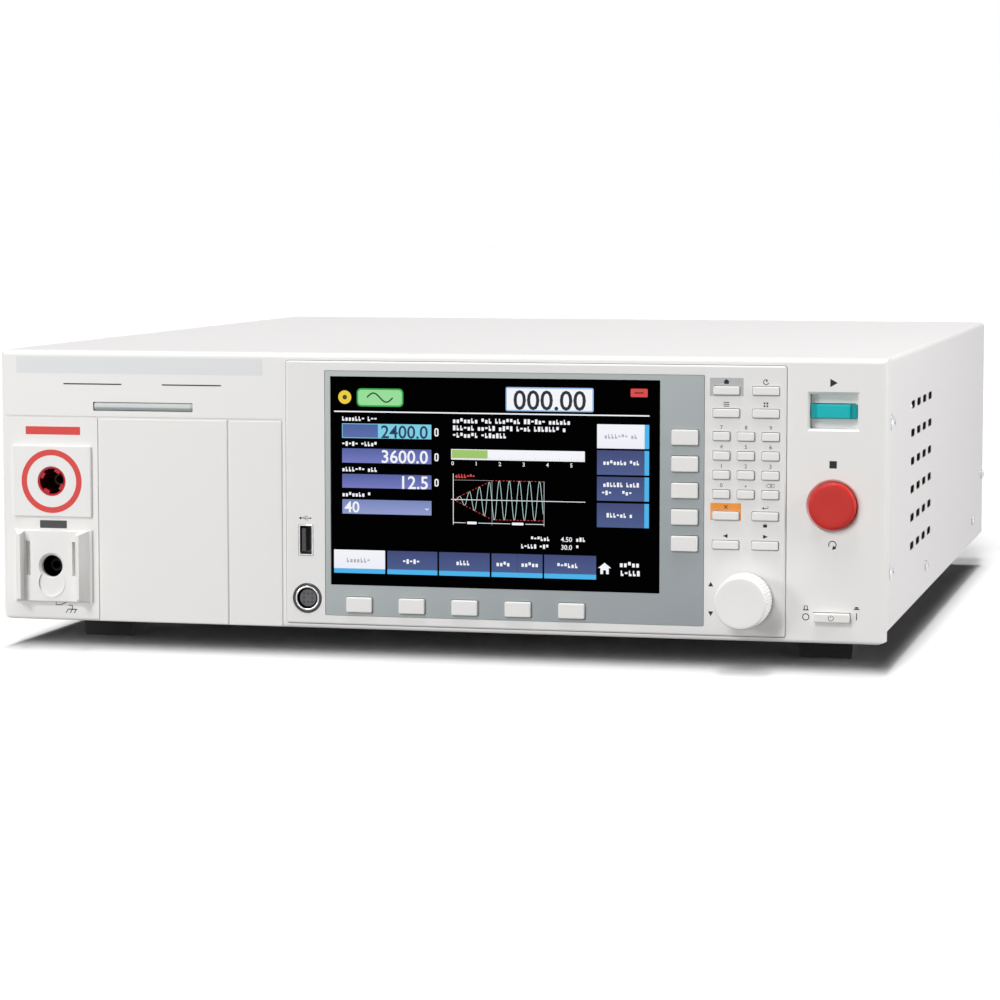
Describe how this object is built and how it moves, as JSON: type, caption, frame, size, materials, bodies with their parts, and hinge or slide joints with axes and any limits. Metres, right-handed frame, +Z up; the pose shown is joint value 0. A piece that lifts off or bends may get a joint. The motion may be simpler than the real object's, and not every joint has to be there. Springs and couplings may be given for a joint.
{
  "type": "electrical safety tester",
  "caption": "Bench electrical safety tester: folded steel cabinet with a wide colour screen, soft keys, keypad, knob, start and stop buttons and guarded output terminals.",
  "frame": {"origin": "middle of the cabinet's footprint, on the surface the feet stand on", "axes": "+X to the right seen from the front, +Y from the front to the rear, +Z up"},
  "size_m": [0.4336, 0.512, 0.145],
  "materials": {
    "front_plastic": "satin",
    "cover_paint": "fine textured paint",
    "rear_paint": "satin paint",
    "plated_steel": "zinc plated",
    "surround_plastic": "satin",
    "screen_glass": "gloss",
    "circuit_board": "lacquered",
    "red_plastic": "semi-gloss",
    "black_plastic": "satin",
    "lamp_lens": "translucent",
    "connector_metal": "bright nickel",
    "foot_rubber": "matte",
    "screw_steel": "bright",
    "transformer_iron": "lacquered",
    "heat_sink": "anodised",
    "start_plastic": "semi-gloss",
    "stop_plastic": "semi-gloss",
    "key_plastic": "satin"
  },
  "bodies": {
    "cabinet": {"base_tray": "plated_steel", "top_cover": "cover_paint", "rear_panel": "rear_paint", "front_panel": "front_plastic", "blank_covers": "front_plastic", "control_fascia": "front_plastic", "screen_surround": "surround_plastic", "screen_glass": "screen_glass", "display_module": "plated_steel", "key_board": "circuit_board", "panel_switches": "circuit_board", "hv_plate": "front_plastic", "hv_socket": "red_plastic", "low_guard": "front_plastic", "low_socket": "black_plastic", "lamp_lens": "lamp_lens", "front_connectors": "connector_metal", "feet": "foot_rubber", "screws": "screw_steel", "fan_frame": "black_plastic", "mains_inlet": "black_plastic", "rear_connectors": "connector_metal", "hv_transformer": "transformer_iron", "main_board": "circuit_board", "power_amplifier": "heat_sink"},
    "soft_key_bottom_1": {"soft_key_bottom_1": "key_plastic"},
    "soft_key_bottom_2": {"soft_key_bottom_2": "key_plastic"},
    "soft_key_bottom_3": {"soft_key_bottom_3": "key_plastic"},
    "soft_key_bottom_4": {"soft_key_bottom_4": "key_plastic"},
    "soft_key_bottom_5": {"soft_key_bottom_5": "key_plastic"},
    "soft_key_side_1": {"soft_key_side_1": "key_plastic"},
    "soft_key_side_2": {"soft_key_side_2": "key_plastic"},
    "soft_key_side_3": {"soft_key_side_3": "key_plastic"},
    "soft_key_side_4": {"soft_key_side_4": "key_plastic"},
    "soft_key_side_5": {"soft_key_side_5": "key_plastic"},
    "menu_key_1": {"menu_key_1": "key_plastic"},
    "menu_key_2": {"menu_key_2": "key_plastic"},
    "menu_key_3": {"menu_key_3": "key_plastic"},
    "menu_key_4": {"menu_key_4": "key_plastic"},
    "digit_key_0": {"digit_key_0": "key_plastic"},
    "digit_key_1": {"digit_key_1": "key_plastic"},
    "digit_key_2": {"digit_key_2": "key_plastic"},
    "digit_key_3": {"digit_key_3": "key_plastic"},
    "digit_key_4": {"digit_key_4": "key_plastic"},
    "digit_key_5": {"digit_key_5": "key_plastic"},
    "digit_key_6": {"digit_key_6": "key_plastic"},
    "digit_key_7": {"digit_key_7": "key_plastic"},
    "digit_key_8": {"digit_key_8": "key_plastic"},
    "digit_key_9": {"digit_key_9": "key_plastic"},
    "point_key": {"point_key": "key_plastic"},
    "clear_key": {"clear_key": "key_plastic"},
    "escape_key": {"escape_key": "key_plastic"},
    "enter_key": {"enter_key": "key_plastic"},
    "left_key": {"left_key": "key_plastic"},
    "right_key": {"right_key": "key_plastic"},
    "start_button": {"start_button": "start_plastic"},
    "stop_button": {"stop_button": "stop_plastic"},
    "power_button": {"power_button": "key_plastic"},
    "rotary_knob": {"rotary_knob": "key_plastic"},
    "fan_rotor": {"fan_rotor": "black_plastic"}
  },
  "joints": [
    {"name": "soft_key_bottom_1_press", "type": "slide", "parent": "cabinet", "child": "soft_key_bottom_1", "axis": [0, 1, 0], "range_m": [0, 0.0008], "stiffness_N_per_m": 100, "springref_m": -0.01},
    {"name": "soft_key_bottom_2_press", "type": "slide", "parent": "cabinet", "child": "soft_key_bottom_2", "axis": [0, 1, 0], "range_m": [0, 0.0008], "stiffness_N_per_m": 100, "springref_m": -0.01},
    {"name": "soft_key_bottom_3_press", "type": "slide", "parent": "cabinet", "child": "soft_key_bottom_3", "axis": [0, 1, 0], "range_m": [0, 0.0008], "stiffness_N_per_m": 100, "springref_m": -0.01},
    {"name": "soft_key_bottom_4_press", "type": "slide", "parent": "cabinet", "child": "soft_key_bottom_4", "axis": [0, 1, 0], "range_m": [0, 0.0008], "stiffness_N_per_m": 100, "springref_m": -0.01},
    {"name": "soft_key_bottom_5_press", "type": "slide", "parent": "cabinet", "child": "soft_key_bottom_5", "axis": [0, 1, 0], "range_m": [0, 0.0008], "stiffness_N_per_m": 100, "springref_m": -0.01},
    {"name": "soft_key_side_1_press", "type": "slide", "parent": "cabinet", "child": "soft_key_side_1", "axis": [0, 1, 0], "range_m": [0, 0.0008], "stiffness_N_per_m": 100, "springref_m": -0.01},
    {"name": "soft_key_side_2_press", "type": "slide", "parent": "cabinet", "child": "soft_key_side_2", "axis": [0, 1, 0], "range_m": [0, 0.0008], "stiffness_N_per_m": 100, "springref_m": -0.01},
    {"name": "soft_key_side_3_press", "type": "slide", "parent": "cabinet", "child": "soft_key_side_3", "axis": [0, 1, 0], "range_m": [0, 0.0008], "stiffness_N_per_m": 100, "springref_m": -0.01},
    {"name": "soft_key_side_4_press", "type": "slide", "parent": "cabinet", "child": "soft_key_side_4", "axis": [0, 1, 0], "range_m": [0, 0.0008], "stiffness_N_per_m": 100, "springref_m": -0.01},
    {"name": "soft_key_side_5_press", "type": "slide", "parent": "cabinet", "child": "soft_key_side_5", "axis": [0, 1, 0], "range_m": [0, 0.0008], "stiffness_N_per_m": 100, "springref_m": -0.01},
    {"name": "menu_key_1_press", "type": "slide", "parent": "cabinet", "child": "menu_key_1", "axis": [0, 1, 0], "range_m": [0, 0.0008], "stiffness_N_per_m": 60, "springref_m": -0.012},
    {"name": "menu_key_2_press", "type": "slide", "parent": "cabinet", "child": "menu_key_2", "axis": [0, 1, 0], "range_m": [0, 0.0008], "stiffness_N_per_m": 60, "springref_m": -0.012},
    {"name": "menu_key_3_press", "type": "slide", "parent": "cabinet", "child": "menu_key_3", "axis": [0, 1, 0], "range_m": [0, 0.0008], "stiffness_N_per_m": 60, "springref_m": -0.012},
    {"name": "menu_key_4_press", "type": "slide", "parent": "cabinet", "child": "menu_key_4", "axis": [0, 1, 0], "range_m": [0, 0.0008], "stiffness_N_per_m": 60, "springref_m": -0.012},
    {"name": "digit_key_0_press", "type": "slide", "parent": "cabinet", "child": "digit_key_0", "axis": [0, 1, 0], "range_m": [0, 0.0008], "stiffness_N_per_m": 60, "springref_m": -0.012},
    {"name": "digit_key_1_press", "type": "slide", "parent": "cabinet", "child": "digit_key_1", "axis": [0, 1, 0], "range_m": [0, 0.0008], "stiffness_N_per_m": 60, "springref_m": -0.012},
    {"name": "digit_key_2_press", "type": "slide", "parent": "cabinet", "child": "digit_key_2", "axis": [0, 1, 0], "range_m": [0, 0.0008], "stiffness_N_per_m": 60, "springref_m": -0.012},
    {"name": "digit_key_3_press", "type": "slide", "parent": "cabinet", "child": "digit_key_3", "axis": [0, 1, 0], "range_m": [0, 0.0008], "stiffness_N_per_m": 60, "springref_m": -0.012},
    {"name": "digit_key_4_press", "type": "slide", "parent": "cabinet", "child": "digit_key_4", "axis": [0, 1, 0], "range_m": [0, 0.0008], "stiffness_N_per_m": 60, "springref_m": -0.012},
    {"name": "digit_key_5_press", "type": "slide", "parent": "cabinet", "child": "digit_key_5", "axis": [0, 1, 0], "range_m": [0, 0.0008], "stiffness_N_per_m": 60, "springref_m": -0.012},
    {"name": "digit_key_6_press", "type": "slide", "parent": "cabinet", "child": "digit_key_6", "axis": [0, 1, 0], "range_m": [0, 0.0008], "stiffness_N_per_m": 60, "springref_m": -0.012},
    {"name": "digit_key_7_press", "type": "slide", "parent": "cabinet", "child": "digit_key_7", "axis": [0, 1, 0], "range_m": [0, 0.0008], "stiffness_N_per_m": 60, "springref_m": -0.012},
    {"name": "digit_key_8_press", "type": "slide", "parent": "cabinet", "child": "digit_key_8", "axis": [0, 1, 0], "range_m": [0, 0.0008], "stiffness_N_per_m": 60, "springref_m": -0.012},
    {"name": "digit_key_9_press", "type": "slide", "parent": "cabinet", "child": "digit_key_9", "axis": [0, 1, 0], "range_m": [0, 0.0008], "stiffness_N_per_m": 60, "springref_m": -0.012},
    {"name": "point_key_press", "type": "slide", "parent": "cabinet", "child": "point_key", "axis": [0, 1, 0], "range_m": [0, 0.0008], "stiffness_N_per_m": 60, "springref_m": -0.012},
    {"name": "clear_key_press", "type": "slide", "parent": "cabinet", "child": "clear_key", "axis": [0, 1, 0], "range_m": [0, 0.0008], "stiffness_N_per_m": 60, "springref_m": -0.012},
    {"name": "escape_key_press", "type": "slide", "parent": "cabinet", "child": "escape_key", "axis": [0, 1, 0], "range_m": [0, 0.0008], "stiffness_N_per_m": 60, "springref_m": -0.012},
    {"name": "enter_key_press", "type": "slide", "parent": "cabinet", "child": "enter_key", "axis": [0, 1, 0], "range_m": [0, 0.0008], "stiffness_N_per_m": 60, "springref_m": -0.012},
    {"name": "left_key_press", "type": "slide", "parent": "cabinet", "child": "left_key", "axis": [0, 1, 0], "range_m": [0, 0.0008], "stiffness_N_per_m": 60, "springref_m": -0.012},
    {"name": "right_key_press", "type": "slide", "parent": "cabinet", "child": "right_key", "axis": [0, 1, 0], "range_m": [0, 0.0008], "stiffness_N_per_m": 60, "springref_m": -0.012},
    {"name": "start_button_press", "type": "slide", "parent": "cabinet", "child": "start_button", "axis": [0, 1, 0], "range_m": [0, 0.002], "stiffness_N_per_m": 200, "springref_m": -0.01},
    {"name": "stop_button_press", "type": "slide", "parent": "cabinet", "child": "stop_button", "axis": [0, 1, 0], "range_m": [0, 0.002], "stiffness_N_per_m": 250, "springref_m": -0.01},
    {"name": "power_button_press", "type": "slide", "parent": "cabinet", "child": "power_button", "axis": [0, 1, 0], "range_m": [0, 0.0024], "stiffness_N_per_m": 150, "springref_m": -0.012},
    {"name": "rotary_knob_turn", "type": "hinge", "parent": "cabinet", "child": "rotary_knob", "pos_m": [0.1499, -0.248, 0.0333], "axis": [0, 1, 0], "continuous": true},
    {"name": "fan_rotor_spin", "type": "hinge", "parent": "cabinet", "child": "fan_rotor", "pos_m": [0.14, 0.2255, 0.082], "axis": [0, 1, 0], "continuous": true}
  ]
}
